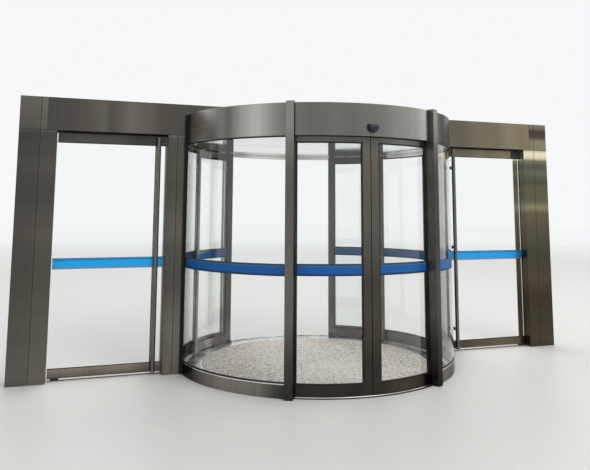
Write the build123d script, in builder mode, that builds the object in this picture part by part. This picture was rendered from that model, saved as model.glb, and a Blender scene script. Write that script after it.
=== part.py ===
from build123d import *
from math import asin, cos, degrees, radians, sin
import os

os.makedirs("parts", exist_ok=True)

# A curved automatic door in a straight run of facade: a drum with two passages, each closed by a
# pair of curved sliding leaves, between two flanking bays with swing doors.
# Millimetres. The origin is on the drum's axis at the floor, +Z up, +X along the facade, and
# -Y is the room side. Bearings are degrees seen from above, from -Y towards +X.

# Drum
clear_height = 2100
drum_radius = 1346
band_height = 278
band_thickness = 20
ceiling_rise = 35
sheet_thickness = 12
cover_sink = 14
sill_height = 114
sill_thickness = 30
panel_joint = 3
seat_gap = 0.3

# Posts beside the two passages
post_bearing = 29.8
post_width = 70
post_shoulder = 20
post_projection = 39
post_rise = 9
post_edge_radius = 2

# Curved glass screens and the rubber that holds them
screen_thickness = 10
screen_inset = 5
screen_joint = 6
gasket_wall = 4
gasket_height = 12

# Curved sliding leaves
leaf_depth = 30
leaf_to_post = 6
leaf_meeting_gap = 6
leaf_floor_gap = 10
leaf_ceiling_gap = 8
leaf_glass_bearing = 28.1
leaf_open_bearing = 28
stile_width = 70
top_rail_height = 75
bottom_rail_height = 90
leaf_glass_thickness = 10
glazing_depth = 12
glazing_top_gap = 2

# Curved track in the canopy, and the roller carriages that carry each leaf
track_slot = 24
track_wall = 6
track_inner_reach = 40
hanger_thickness = 10
hanger_length = 110
carriage_inset = 160
roller_diameter = 40
roller_width = 10
roller_side_gap = 10
roller_spacing = 70
axle_diameter = 12

# Floor pieces
mat_radius = 1118
mat_thickness = 8
floor_track_width = 26
floor_track_height = 3
guide_groove_width = 16
guide_groove_depth = 25
guide_tongue_thickness = 5
guide_tongue_length = 40
guide_tongue_height = 30
guide_base_depth = 30
guide_base_length = 60
guide_base_height = 4

# Facade beside the drum
wall_depth = 208
header_rise = 81
beam_height = 101
wall_post_width = 175
bay_width = 984
column_width = 317
column_seam = 140
header_bearing = 84
reveal_width = 5
reveal_depth = 8
edge_radius = 2

# Swing doors in the bays
door_thickness = 40
door_glass_thickness = 12
door_rail_height = 88
door_floor_gap = 10
door_header_gap = 7
door_heel_gap = 9
door_lock_gap = 8
door_pivot_inset = 55
door_glass_bite = 20
pivot_block_length = 107
pivot_pin_diameter = 20
floor_plate_length = 160
floor_plate_width = 60
floor_plate_height = 4

# Full height pull handles, one on each face of a swing door
handle_diameter = 40
handle_from_edge = 71
handle_offset = 62
handle_end_gap = 14
handle_edge = 2
stud_diameter = 20
stud_inset = 130

# Motion sensors over the passages
sensor_width = 100
sensor_height = 71
sensor_depth = 40
sensor_above_band = 31
sensor_edge_radius = 12

# Rubber closers between the drum and the wall posts
closer_thickness = 6
closer_width = 40
closer_band_width = 84

# Places that follow from the sizes above
band_inner_radius = drum_radius - band_thickness
lining_radius = band_inner_radius - seat_gap
ceiling_height = clear_height + ceiling_rise
header_bottom = clear_height + header_rise
band_top = clear_height + band_height
header_top = band_top + beam_height
post_top = band_top + post_rise
sill_inner_radius = drum_radius - sill_thickness
post_inner_radius = band_inner_radius - post_shoulder
post_outer_radius = drum_radius + post_projection
leaf_outer_radius = post_inner_radius - leaf_to_post
leaf_inner_radius = leaf_outer_radius - leaf_depth
leaf_radius = leaf_outer_radius - leaf_depth / 2
leaf_bottom = leaf_floor_gap
leaf_top = ceiling_height - leaf_ceiling_gap
window_bottom = leaf_bottom + bottom_rail_height
window_top = leaf_top - top_rail_height
slot_inner_radius = leaf_radius - track_slot / 2
slot_outer_radius = leaf_radius + track_slot / 2
track_bottom = ceiling_height + sheet_thickness
cover_bottom = band_top - cover_sink - sheet_thickness
wall_face = wall_depth / 2
drum_side = drum_radius + seat_gap
bay_inner = drum_side + wall_post_width
bay_outer = bay_inner + bay_width
column_outer = bay_outer + column_width
header_end = bay_outer + header_bearing
door_bottom = door_floor_gap
door_top = header_bottom - door_header_gap
door_lock_edge = bay_inner + door_lock_gap
door_heel_edge = bay_outer - door_heel_gap
door_pivot = door_heel_edge - door_pivot_inset

sides = (("left", -1), ("right", 1))
passages = (("inner", 0), ("outer", 180))


def arc_bearing(length, radius):
    """Degrees that a length of arc takes up at a radius."""
    return degrees(length / radius)


def post_clearance(radius):
    """Degrees from a post's middle to a piece that stops a joint away from the post's side."""
    return degrees(asin((post_width / 2 + panel_joint) / radius))


def outwards(bearing):
    """Level direction from the drum's axis at a bearing."""
    return (sin(radians(bearing)), -cos(radians(bearing)), 0)


def plan_plane(bearing, height):
    """Level plane on the drum's axis whose X points outwards at a bearing."""
    return Plane(origin=(0, 0, height), x_dir=outwards(bearing), z_dir=(0, 0, 1))


def radial_plane(bearing):
    """Upright plane through the drum's axis: its X points outwards and its Y points up."""
    x, y, _ = outwards(bearing)
    return Plane(origin=(0, 0, 0), x_dir=(x, y, 0), z_dir=(y, -x, 0))


def section(inner, outer, bottom, top, mode=Mode.ADD):
    """Rectangle on a radial plane, between two radii and two heights."""
    with Locations(((inner + outer) / 2, (bottom + top) / 2)):
        Rectangle(outer - inner, top - bottom, mode=mode)


def facade_block(hand, inner, outer, depth, bottom, top, mode=Mode.ADD):
    """Upright block centred on the facade, between two distances from the axis on one side."""
    with Locations((hand * (inner + outer) / 2, 0, bottom)):
        Box(outer - inner, depth, top - bottom, align=(Align.CENTER, Align.CENTER, Align.MIN), mode=mode)


def facade_reveal(hand, inner, outer, bottom, top):
    """Shallow groove cut in both faces of the facade."""
    for face in (-1, 1):
        with Locations((hand * (inner + outer) / 2, face * wall_face, bottom)):
            Box(outer - inner, 2 * reveal_depth, top - bottom,
                align=(Align.CENTER, Align.CENTER, Align.MIN), mode=Mode.SUBTRACT)


def save(piece, name):
    """Label a finished piece and write its file."""
    piece.part.label = name
    export_step(piece.part, f"parts/{name}.step")


# Stainless bands of the canopy, over the passages and over the screens, between the posts
band_clearance = post_clearance(band_inner_radius)
for name, half_arc, middles in (("passage_bands", post_bearing, (0, 180)),
                                ("side_bands", 90 - post_bearing, (90, 270))):
    band_half_arc = half_arc - band_clearance
    with BuildPart() as bands:
        for middle in middles:
            with BuildSketch(radial_plane(middle - band_half_arc)):
                section(band_inner_radius, drum_radius, clear_height, band_top)
            revolve(axis=Axis.Z, revolution_arc=2 * band_half_arc)
    save(bands, name)

# Posts, with a shoulder on the inside that the canopy stands on
for passage, middle in passages:
    bearings = (middle - post_bearing, middle + post_bearing)
    with BuildPart() as passage_posts:
        for bearing in bearings:
            with BuildSketch(plan_plane(bearing, 0)):
                with Locations(((post_inner_radius + post_outer_radius) / 2, 0)):
                    Rectangle(post_outer_radius - post_inner_radius, post_width)
            extrude(amount=post_top)
        fillet(passage_posts.edges().filter_by(Axis.Z), post_edge_radius)
        for bearing in bearings:
            with BuildSketch(plan_plane(bearing, ceiling_height)):
                with Locations((band_inner_radius - post_shoulder, 0)):
                    Rectangle(2 * post_shoulder, post_width)
            extrude(amount=post_top - ceiling_height, mode=Mode.SUBTRACT)
    save(passage_posts, f"{passage}_posts")

# Curved sills under the screens
sill_clearance = post_clearance(sill_inner_radius)
for name, start in (("right_sill", post_bearing), ("left_sill", 180 + post_bearing)):
    with BuildPart() as sill:
        with BuildSketch(radial_plane(start + sill_clearance)):
            section(sill_inner_radius, drum_radius, 0, sill_height)
        revolve(axis=Axis.Z, revolution_arc=180 - 2 * (post_bearing + sill_clearance))
    save(sill, name)

# Curved glass screens, two on each side with a rubber joint behind the wall post
screen_outer_radius = drum_radius - screen_inset
screen_inner_radius = screen_outer_radius - screen_thickness
screen_bottom = sill_height + gasket_wall
screen_top = clear_height - gasket_wall
screen_clearance = post_clearance(screen_inner_radius)
screen_joint_half_arc = arc_bearing(screen_joint / 2, screen_inner_radius)
screen_arc = 90 - post_bearing - screen_clearance - screen_joint_half_arc
for side, hand in sides:
    middle = 90 * hand
    with BuildPart() as screens:
        for start in (middle - screen_joint_half_arc - screen_arc, middle + screen_joint_half_arc):
            with BuildSketch(radial_plane(start)):
                section(screen_inner_radius, screen_outer_radius, screen_bottom, screen_top)
            revolve(axis=Axis.Z, revolution_arc=screen_arc)
    save(screens, f"{side}_screens")

# Rubber channels at the foot and head of the screens, and the upright joint between screens
channel_inner = screen_inner_radius - seat_gap - gasket_wall
channel_outer = screen_outer_radius + seat_gap + gasket_wall
channel_arc = 180 - 2 * (post_bearing + screen_clearance)
joint_arc = arc_bearing(screen_joint - 2 * seat_gap, screen_inner_radius)
with BuildPart() as screen_rubber:
    for start in (post_bearing + screen_clearance, 180 + post_bearing + screen_clearance):
        with BuildSketch(radial_plane(start)):
            section(channel_inner, channel_outer, sill_height, sill_height + gasket_height)
            section(channel_inner + gasket_wall, channel_outer - gasket_wall,
                    screen_bottom, sill_height + gasket_height, mode=Mode.SUBTRACT)
            section(channel_inner, channel_outer, clear_height - gasket_height, clear_height)
            section(channel_inner + gasket_wall, channel_outer - gasket_wall,
                    clear_height - gasket_height, screen_top, mode=Mode.SUBTRACT)
        revolve(axis=Axis.Z, revolution_arc=channel_arc)
    for middle in (90, 270):
        with BuildSketch(radial_plane(middle - joint_arc / 2)):
            section(screen_inner_radius, screen_outer_radius, screen_bottom, screen_top)
        revolve(axis=Axis.Z, revolution_arc=joint_arc)
save(screen_rubber, "screen_rubber")

# Mirror ceiling inside the track's slot, and the soffit ring outside it
with BuildPart() as ceiling:
    with BuildSketch(radial_plane(0)):
        section(0, slot_inner_radius, ceiling_height, track_bottom)
        section(slot_outer_radius, lining_radius, ceiling_height, track_bottom)
    revolve(axis=Axis.Z)
save(ceiling, "ceiling")

# Curved track: a hollow ring with an open slot below, whose flanges carry the rollers
track_inner_radius = leaf_radius - track_inner_reach
with BuildPart() as track_ring:
    with BuildSketch(radial_plane(0)):
        section(track_inner_radius, lining_radius, track_bottom, cover_bottom)
        section(track_inner_radius + track_wall, lining_radius - track_wall,
                track_bottom + track_wall, cover_bottom - track_wall, mode=Mode.SUBTRACT)
        section(slot_inner_radius, slot_outer_radius, track_bottom, track_bottom + track_wall,
                mode=Mode.SUBTRACT)
    revolve(axis=Axis.Z)
save(track_ring, "track_ring")

# Cover over the canopy
with BuildPart() as top_cover:
    with BuildSketch(Plane.XY.offset(cover_bottom)):
        Circle(lining_radius)
    extrude(amount=sheet_thickness)
save(top_cover, "top_cover")

# Curved leaves. A pair meets in the middle of its passage and slides apart behind the screens.
meeting_bearing = arc_bearing(leaf_meeting_gap / 2, leaf_radius)
stile_arc = arc_bearing(stile_width, leaf_radius)
bite_arc = arc_bearing(glazing_depth, leaf_radius)
leaf_arc = leaf_glass_bearing + stile_arc - meeting_bearing
groove_half = leaf_glass_thickness / 2 + seat_gap


def leaf_frame(start):
    """Frame from a bearing on: two stiles and two rails, grooved for the glass and the guides."""
    with BuildPart() as frame:
        with BuildSketch(radial_plane(start)):
            section(leaf_inner_radius, leaf_outer_radius, leaf_bottom, leaf_top)
            section(leaf_radius - guide_groove_width / 2, leaf_radius + guide_groove_width / 2,
                    leaf_bottom, leaf_bottom + guide_groove_depth, mode=Mode.SUBTRACT)
        revolve(axis=Axis.Z, revolution_arc=leaf_arc)
        with BuildSketch(radial_plane(start + stile_arc)):
            section(leaf_inner_radius - leaf_depth, leaf_outer_radius + leaf_depth, window_bottom, window_top)
        revolve(axis=Axis.Z, revolution_arc=leaf_arc - 2 * stile_arc, mode=Mode.SUBTRACT)
        with BuildSketch(radial_plane(start + stile_arc - bite_arc)):
            section(leaf_radius - groove_half, leaf_radius + groove_half,
                    window_bottom - glazing_depth, window_top + glazing_depth)
        revolve(axis=Axis.Z, revolution_arc=leaf_arc - 2 * (stile_arc - bite_arc), mode=Mode.SUBTRACT)
    return frame


def leaf_glass(start):
    """Curved pane that stands in the frame's groove."""
    margin = stile_arc - bite_arc + arc_bearing(seat_gap, leaf_radius)
    with BuildPart() as pane:
        with BuildSketch(radial_plane(start + margin)):
            section(leaf_radius - leaf_glass_thickness / 2, leaf_radius + leaf_glass_thickness / 2,
                    window_bottom - glazing_depth, window_top + glazing_depth - glazing_top_gap)
        revolve(axis=Axis.Z, revolution_arc=leaf_arc - 2 * margin)
    return pane


def leaf_carriages(start):
    """Two hangers on the top rail, each with four rollers on the flanges of the track."""
    axle_height = track_bottom + track_wall + seat_gap + roller_diameter / 2
    axle_length = hanger_thickness + 2 * (roller_side_gap + roller_width)
    roller_offset = hanger_thickness / 2 + roller_side_gap + roller_width / 2
    inset = arc_bearing(carriage_inset, leaf_radius)
    with BuildPart() as carriages:
        for bearing in (start + inset, start + leaf_arc - inset):
            with BuildSketch(plan_plane(bearing, leaf_top)):
                with Locations((leaf_radius, 0)):
                    Rectangle(hanger_thickness, hanger_length)
            extrude(amount=axle_height + roller_diameter / 2 - leaf_top)
            across = Plane(origin=(0, 0, axle_height), x_dir=(0, 0, 1), z_dir=outwards(bearing))
            axle_spots = ((0, -roller_spacing / 2), (0, roller_spacing / 2))
            with BuildSketch(across.offset(leaf_radius - axle_length / 2)):
                with Locations(*axle_spots):
                    Circle(axle_diameter / 2)
            extrude(amount=axle_length)
            for offset in (-roller_offset, roller_offset):
                with BuildSketch(across.offset(leaf_radius + offset - roller_width / 2)):
                    with Locations(*axle_spots):
                        Circle(roller_diameter / 2)
                extrude(amount=roller_width)
    return carriages


leaf_starts = {
    "inner_left": -meeting_bearing - leaf_arc,
    "inner_right": meeting_bearing,
    "outer_left": 180 + leaf_open_bearing,
    "outer_right": 180 - leaf_open_bearing - leaf_arc,
}
for name, start in leaf_starts.items():
    save(leaf_frame(start), f"{name}_frame")
    save(leaf_glass(start), f"{name}_glass")
    save(leaf_carriages(start), f"{name}_carriages")

# Floor guides at the feet of the posts, each with a tongue in the leaf's groove
with BuildPart() as floor_guides:
    for bearing in (-post_bearing, post_bearing, 180 - post_bearing, 180 + post_bearing):
        with BuildSketch(plan_plane(bearing, 0)):
            with Locations((post_inner_radius - guide_base_depth / 2, 0)):
                Rectangle(guide_base_depth, guide_base_length)
        extrude(amount=guide_base_height)
        with BuildSketch(plan_plane(bearing, 0)):
            with Locations((leaf_radius, 0)):
                Rectangle(guide_tongue_thickness, guide_tongue_length)
        extrude(amount=guide_tongue_height)
save(floor_guides, "floor_guides")

# Thin steel tracks in the floor line of the passages, between the guides
floor_track_inner = leaf_radius - floor_track_width / 2
floor_track_clearance = degrees(asin((guide_base_length / 2 + seat_gap) / floor_track_inner))
floor_track_half_arc = post_bearing - floor_track_clearance
with BuildPart() as floor_tracks:
    for middle in (0, 180):
        with BuildSketch(radial_plane(middle - floor_track_half_arc)):
            section(floor_track_inner, floor_track_inner + floor_track_width, 0, floor_track_height)
        revolve(axis=Axis.Z, revolution_arc=2 * floor_track_half_arc)
save(floor_tracks, "floor_tracks")

# Round entrance mat
with BuildPart() as entrance_mat:
    with BuildSketch(Plane.XY):
        Circle(mat_radius)
    extrude(amount=mat_thickness)
save(entrance_mat, "entrance_mat")

# Motion sensors: flat on top and half round below, on the band over each passage
with BuildPart() as motion_sensors:
    sensor_top = clear_height + sensor_above_band + sensor_height
    lobe = sensor_width / 2
    for _, bearing in passages:
        face = Plane(origin=(0, 0, sensor_top), x_dir=-radial_plane(bearing).z_dir, z_dir=outwards(bearing))
        with BuildSketch(face.offset(band_inner_radius)):
            with BuildLine():
                Polyline((-lobe, lobe - sensor_height), (-lobe, 0), (lobe, 0), (lobe, lobe - sensor_height))
                CenterArc((0, lobe - sensor_height), lobe, 180, 180)
            make_face()
        extrude(amount=band_thickness + seat_gap + sensor_depth)
    tips = motion_sensors.faces().sort_by(Axis.Y)
    fillet(tips[0].edges() + tips[-1].edges(), sensor_edge_radius)
    Cylinder(drum_radius + seat_gap, 2 * header_top, mode=Mode.SUBTRACT)
save(motion_sensors, "motion_sensors")

# Rubber closers in the corners between the drum and the front and back of the wall posts
with BuildPart() as drum_closers:
    closer_start = degrees(asin((wall_face + seat_gap) / drum_side))
    low_arc = arc_bearing(closer_width, drum_side)
    band_arc = arc_bearing(closer_band_width, drum_side)
    for middle in (90, 270):
        for start, end in ((middle - closer_start - low_arc, middle - closer_start),
                           (middle + closer_start, middle + closer_start + low_arc)):
            with BuildSketch(radial_plane(start)):
                section(drum_side, drum_side + closer_thickness, 0, band_top)
            revolve(axis=Axis.Z, revolution_arc=end - start)
        for start, end in ((middle - closer_start - band_arc, middle - closer_start),
                           (middle + closer_start, middle + closer_start + band_arc)):
            with BuildSketch(radial_plane(start)):
                section(drum_side, drum_side + closer_thickness, clear_height, band_top)
            revolve(axis=Axis.Z, revolution_arc=end - start)
save(drum_closers, "drum_closers")

# Beam over the drum, in line with the headers
with BuildPart() as drum_beam:
    with BuildSketch(Plane.XY.offset(band_top)):
        Rectangle(2 * drum_side, wall_depth)
    extrude(amount=header_top - band_top)
save(drum_beam, "drum_beam")

for side, hand in sides:
    # Header box, on the wall post and on a seat in the end column
    with BuildPart() as header:
        facade_block(hand, drum_side, header_end - panel_joint, wall_depth, header_bottom, header_top)
    save(header, f"{side}_header")

    # Wall post between the drum and the bay, with a reveal down its middle
    with BuildPart() as wall_post:
        facade_block(hand, drum_side, bay_inner, wall_depth, 0, header_bottom)
        fillet(wall_post.edges().filter_by(Axis.Z), edge_radius)
        seam = (drum_side + bay_inner) / 2
        facade_reveal(hand, seam - reveal_width / 2, seam + reveal_width / 2, 0, header_bottom)
    save(wall_post, f"{side}_wall_post")

    # End column, with its reveals and the seat for the header
    with BuildPart() as end_column:
        facade_block(hand, bay_outer, column_outer, wall_depth, 0, header_top)
        fillet(end_column.edges().filter_by(Axis.Z), edge_radius)
        facade_block(hand, bay_outer, header_end, wall_depth, header_bottom, header_top, mode=Mode.SUBTRACT)
        seam = bay_outer + column_seam
        facade_reveal(hand, seam - reveal_width / 2, seam + reveal_width / 2, 0, header_top)
        facade_reveal(hand, header_end, column_outer, header_bottom, header_bottom + reveal_width)
    save(end_column, f"{side}_end_column")

    # Steel rails of the swing door; the bottom one carries the lower pivot pin
    top_rail_bottom = door_top - door_rail_height
    bottom_rail_top = door_bottom + door_rail_height
    pane_groove = door_glass_thickness + 2 * seat_gap
    with BuildPart() as door_rails:
        facade_block(hand, door_lock_edge, door_heel_edge, door_thickness, door_bottom, bottom_rail_top)
        facade_block(hand, door_lock_edge, door_heel_edge - pivot_block_length, door_thickness,
                     top_rail_bottom, door_top)
        facade_block(hand, door_lock_edge, door_heel_edge, pane_groove,
                     bottom_rail_top - door_glass_bite, top_rail_bottom + door_glass_bite, mode=Mode.SUBTRACT)
        with BuildSketch(Plane.XY.offset(floor_plate_height + seat_gap)):
            with Locations((hand * door_pivot, 0)):
                Circle(pivot_pin_diameter / 2)
        extrude(amount=door_bottom - floor_plate_height - seat_gap)
    save(door_rails, f"{side}_door_rails")

    # Black block of the upper pivot, with its pin up to the header
    with BuildPart() as door_pivot_block:
        facade_block(hand, door_heel_edge - pivot_block_length, door_heel_edge, door_thickness,
                     top_rail_bottom, door_top)
        facade_block(hand, door_heel_edge - pivot_block_length, door_heel_edge, pane_groove,
                     top_rail_bottom, top_rail_bottom + door_glass_bite, mode=Mode.SUBTRACT)
        with BuildSketch(Plane.XY.offset(door_top)):
            with Locations((hand * door_pivot, 0)):
                Circle(pivot_pin_diameter / 2)
        extrude(amount=door_header_gap - seat_gap)
    save(door_pivot_block, f"{side}_door_pivot")

    # Glass of the swing door
    with BuildPart() as door_glass:
        facade_block(hand, door_lock_edge, door_heel_edge, door_glass_thickness,
                     bottom_rail_top - door_glass_bite, top_rail_bottom + door_glass_bite)
    save(door_glass, f"{side}_door_glass")

    # Pull tubes on both faces of the glass, each on three studs
    handle_bottom = door_bottom + handle_end_gap
    handle_top = door_top - handle_end_gap
    with BuildPart() as door_handles:
        for face in (-1, 1):
            tube_spot = (hand * (door_lock_edge + handle_from_edge), face * handle_offset)
            with BuildSketch(Plane.XY.offset(handle_bottom)):
                with Locations(tube_spot):
                    Circle(handle_diameter / 2)
            extrude(amount=handle_top - handle_bottom)
        chamfer(door_handles.edges().filter_by(GeomType.CIRCLE), handle_edge)
        stud_heights = (bottom_rail_top + stud_inset, (bottom_rail_top + top_rail_bottom) / 2,
                        top_rail_bottom - stud_inset)
        for face in (-1, 1):
            glass_face = Plane(origin=(0, face * door_glass_thickness / 2, 0), x_dir=(1, 0, 0), z_dir=(0, face, 0))
            with BuildSketch(glass_face):
                with Locations(*[(tube_spot[0], -face * height) for height in stud_heights]):
                    Circle(stud_diameter / 2)
            extrude(amount=handle_offset - door_glass_thickness / 2)
    save(door_handles, f"{side}_door_handles")

# Floor plates that carry the lower pivots
with BuildPart() as floor_plates:
    for _, hand in sides:
        plate_outer = bay_outer - seat_gap
        facade_block(hand, plate_outer - floor_plate_length, plate_outer, floor_plate_width,
                     0, floor_plate_height)
save(floor_plates, "floor_plates")
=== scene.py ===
"""Looks of a curved automatic door: brushed steel cladding, curved glass with a blue safety film,
framed curved leaves, full height pull tubes, rubber, mat, and a plain pale studio.

Metres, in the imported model's frame: the origin is on the drum's axis at the floor, +Z up, +X along
the facade, and -Y is the room side. Bearings are degrees seen from above, from -Y towards +X.
"""

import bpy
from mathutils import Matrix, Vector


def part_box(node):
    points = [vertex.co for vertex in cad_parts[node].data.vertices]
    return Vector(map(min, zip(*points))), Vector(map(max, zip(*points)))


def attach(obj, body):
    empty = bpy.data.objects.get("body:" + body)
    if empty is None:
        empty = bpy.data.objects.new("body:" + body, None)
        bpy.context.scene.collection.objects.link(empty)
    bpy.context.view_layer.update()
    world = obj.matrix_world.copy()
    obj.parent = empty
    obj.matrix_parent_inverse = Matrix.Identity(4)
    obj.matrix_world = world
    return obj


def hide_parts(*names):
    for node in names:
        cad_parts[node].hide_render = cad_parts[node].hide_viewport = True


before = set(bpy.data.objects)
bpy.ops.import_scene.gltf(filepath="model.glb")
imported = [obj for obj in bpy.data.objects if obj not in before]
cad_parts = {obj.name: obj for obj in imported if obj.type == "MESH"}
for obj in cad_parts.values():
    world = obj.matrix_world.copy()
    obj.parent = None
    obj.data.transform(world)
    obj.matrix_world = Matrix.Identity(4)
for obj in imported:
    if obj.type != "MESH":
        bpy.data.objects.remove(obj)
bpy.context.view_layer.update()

import math
from functools import cache

import bpy
import numpy as np
from bpy.props import FloatProperty, FloatVectorProperty, IntProperty, PointerProperty
from bpy.types import NodeSocket, Operator, Panel, PropertyGroup
from mathutils import Matrix, Vector

bl_info = {
    "name": "Curved automatic door",
    "version": (1, 0, 0),
    "blender": (4, 5, 0),
    "location": "View3D > Sidebar > Curved door",
    "description": "Finishes the packed curved automatic door with steel, glass, rubber, film and mat",
    "category": "Object",
}

PICTURE_SIZE = (590, 470)
LEAVES = ("inner_left", "inner_right", "outer_left", "outer_right")
SIDES = (("left", -1), ("right", 1))


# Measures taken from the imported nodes

def vertex_places(node):
    """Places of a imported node's vertices, one row each."""
    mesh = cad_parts[node].data
    places = np.empty(len(mesh.vertices) * 3)
    mesh.vertices.foreach_get("co", places)
    return places.reshape(-1, 3)


def turned_limits(node):
    """Limits of a node about the drum's axis: bearing is the arctangent of x over minus y, radius the
    length in plan, and height z."""
    x, y, z = vertex_places(node).T
    radius = np.hypot(x, y)
    bearing = np.degrees(np.arctan2(x, -y)) % 360
    return {
        "start": bearing.min(), "end": bearing.max(), "inner": radius.min(), "outer": radius.max(),
        "bottom": z.min(), "top": z.max(),
    }


BANDS = turned_limits("side_bands")
SILL = turned_limits("right_sill")
SCREENS = turned_limits("right_screens")
LEAF = turned_limits("inner_right_frame")
LEAF_GLASS = turned_limits("inner_right_glass")
MAT = turned_limits("entrance_mat")
LEAF_RADIUS = (LEAF["inner"] + LEAF["outer"]) / 2
HEADER_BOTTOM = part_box("left_header")[0].z


# Sizes, colours and studio values that a user would change

def length(name, description, default, low, high):
    """Property for a length in metres."""
    return FloatProperty(
        name=name, description=description, default=default, min=low, max=high, unit="LENGTH")


def colour_value(name, description, *default):
    """Property for a linear colour."""
    return FloatVectorProperty(
        name=name, description=description, default=default, subtype="COLOR", min=0, max=1)


def view_angle(name, description, default):
    """Property for an angle whose default is in degrees."""
    return FloatProperty(
        name=name, description=description, default=math.radians(default), subtype="ANGLE")


class DoorSizes(PropertyGroup):
    """Sizes of the pieces that this script models."""

    edge_radius: length("Edge radius", "Rounding of folded sheet edges", 0.002, 0.0005, 0.004)
    sweep_pitch: FloatProperty(
        name="Sweep pitch", description="Degrees of bearing between two sections of a curved piece",
        default=0.75, min=0.25, max=3)
    post_clearance: length(
        "Post joint", "Open joint between a post and the pieces beside it", 0.003, 0.001, 0.01)
    stile_width: length(
        "Stile width", "Width of the upright members of a curved leaf", 0.07, 0.04, 0.1)
    top_rail: length("Top rail", "Height of the top member of a curved leaf", 0.075, 0.05, 0.12)
    bottom_rail: length("Bottom rail", "Height of the bottom member of a curved leaf", 0.09, 0.05, 0.15)
    glazing_depth: length(
        "Glazing depth", "How far the glass stands in its groove", 0.012, 0.006, 0.02)
    gasket_height: length(
        "Gasket height", "How far a black gasket covers the edge of its glass", 0.010, 0.002, 0.015)
    film_bottom: length("Film bottom", "Lower edge of the safety film over the floor", 0.952, 0.5, 1.5)
    film_height: length("Film height", "Height of the safety film", 0.098, 0.02, 0.2)
    film_thickness: length("Film thickness", "Thickness of the safety film", 0.0004, 0.0001, 0.001)
    film_gap: length(
        "Film gap", "Thickness of the glue between the glass and the film", 0.0002, 0.00005, 0.001)
    rosette_radius: length(
        "Rosette radius", "Radius of the plate where a handle stud meets the glass", 0.018, 0.01, 0.03)
    mat_rings: IntProperty(
        name="Mat rings", description="Rings of pile points between the mat's middle and its edge",
        default=120, min=20, max=150)
    mat_spokes: IntProperty(
        name="Mat spokes", description="Pile points around the mat", default=540, min=90, max=720)


class DoorFinishes(PropertyGroup):
    """Colours of the finishes, as linear colour values."""

    facade_steel: colour_value(
        "Facade steel", "Warm grey steel of columns, posts and headers", 0.085, 0.080, 0.067)
    band_steel: colour_value("Band steel", "Steel of the drum's bands", 0.150, 0.146, 0.135)
    post_steel: colour_value("Post steel", "Steel of the posts beside the passages", 0.098, 0.095, 0.083)
    leaf_steel: colour_value("Leaf steel", "Steel of the curved leaves", 0.095, 0.090, 0.080)
    sill_steel: colour_value("Sill steel", "Polished steel of the sills", 0.15, 0.142, 0.125)
    tube_steel: colour_value("Tube steel", "Satin steel of the pull tubes", 0.14, 0.135, 0.12)
    film_blue: colour_value(
        "Film blue", "Main colour of the safety film on the curved glass", 0.001, 0.185, 0.62)
    # Brighter than the film blue: painted daylight through the film on the swing doors
    bright_film_blue: colour_value(
        "Bright film blue", "Main colour of the safety film on the swing doors", 0.0, 0.5, 1.0)
    glass_tint: colour_value("Glass tint", "Colour of light that passes one pane", 0.972, 0.985, 0.978)
    mat_colour: colour_value("Mat colour", "Middle colour of the mat's pile", 0.755, 0.65, 0.56)


class StudioSettings(PropertyGroup):
    """Camera and lights."""

    camera_place: FloatVectorProperty(
        name="Camera place", description="Where the camera stands", subtype="TRANSLATION",
        unit="LENGTH", default=(-2.376, -6.211, 1.485))
    camera_yaw: view_angle("Yaw", "Turn of the view from +Y towards +X", 19.1)
    camera_pitch: view_angle("Pitch", "Tilt of the view over level", 6.97)
    camera_roll: view_angle("Roll", "Turn of the picture about the view's axis", 0.29)
    focal_pixels: FloatProperty(
        name="Focal length", description="Focal length in pixels of the picture", default=646.63,
        min=100, max=5000)
    axis_row: FloatProperty(
        name="Axis row", description="Row of the picture that the view's axis meets", default=131.02)
    ambient: FloatProperty(
        name="Ambient", description="Strength of the even light on matt surfaces", default=0.72,
        min=0, max=2)
    lamp_power: FloatProperty(
        name="Lamp power", description="Power of the largest lamp", default=480, min=0, unit="POWER")


def sizes():
    return bpy.context.scene.curved_door_sizes


def finishes():
    return bpy.context.scene.curved_door_finishes


def studio():
    return bpy.context.scene.curved_door_studio


# Outlines

def rounded_rectangle(left, right, bottom, top, corner=0.0, corner_steps=3):
    """Closed outline, anticlockwise from the lower right corner. Each corner is a quarter circle: its
    centre plus the corner radius times the cosine and sine of the angle."""
    centres = np.array([(right - corner, bottom + corner), (right - corner, top - corner),
                        (left + corner, top - corner), (left + corner, bottom + corner)])
    quarter = np.linspace(0, 90, corner_steps + 1) if corner else np.zeros(1)
    angles = np.radians(np.array([-90, 0, 90, 180])[:, None] + quarter[None, :])
    spokes = corner * np.stack([np.cos(angles), np.sin(angles)], axis=2)
    return (centres[:, None, :] + spokes).reshape(-1, 2)


def limits_outline(limits, corner, corner_steps=3):
    """Section of a turned node: the rectangle of its radius and height, with rounded corners."""
    return rounded_rectangle(limits["inner"], limits["outer"], limits["bottom"], limits["top"], corner,
                             corner_steps)


def divided(outline, pitch):
    """Outline with its own points and more along its long sides, read off by length along it."""
    closed = np.vstack([outline, outline[:1]])
    length_along = np.concatenate([[0], np.cumsum(np.hypot(*np.diff(closed, axis=0).T))])
    stations = np.concatenate([length_along, np.arange(0, length_along[-1], pitch)])
    stations = np.unique(np.round(stations, 7))[:-1]
    return np.column_stack([np.interp(stations, length_along, closed[:, axis]) for axis in (0, 1)])


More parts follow.
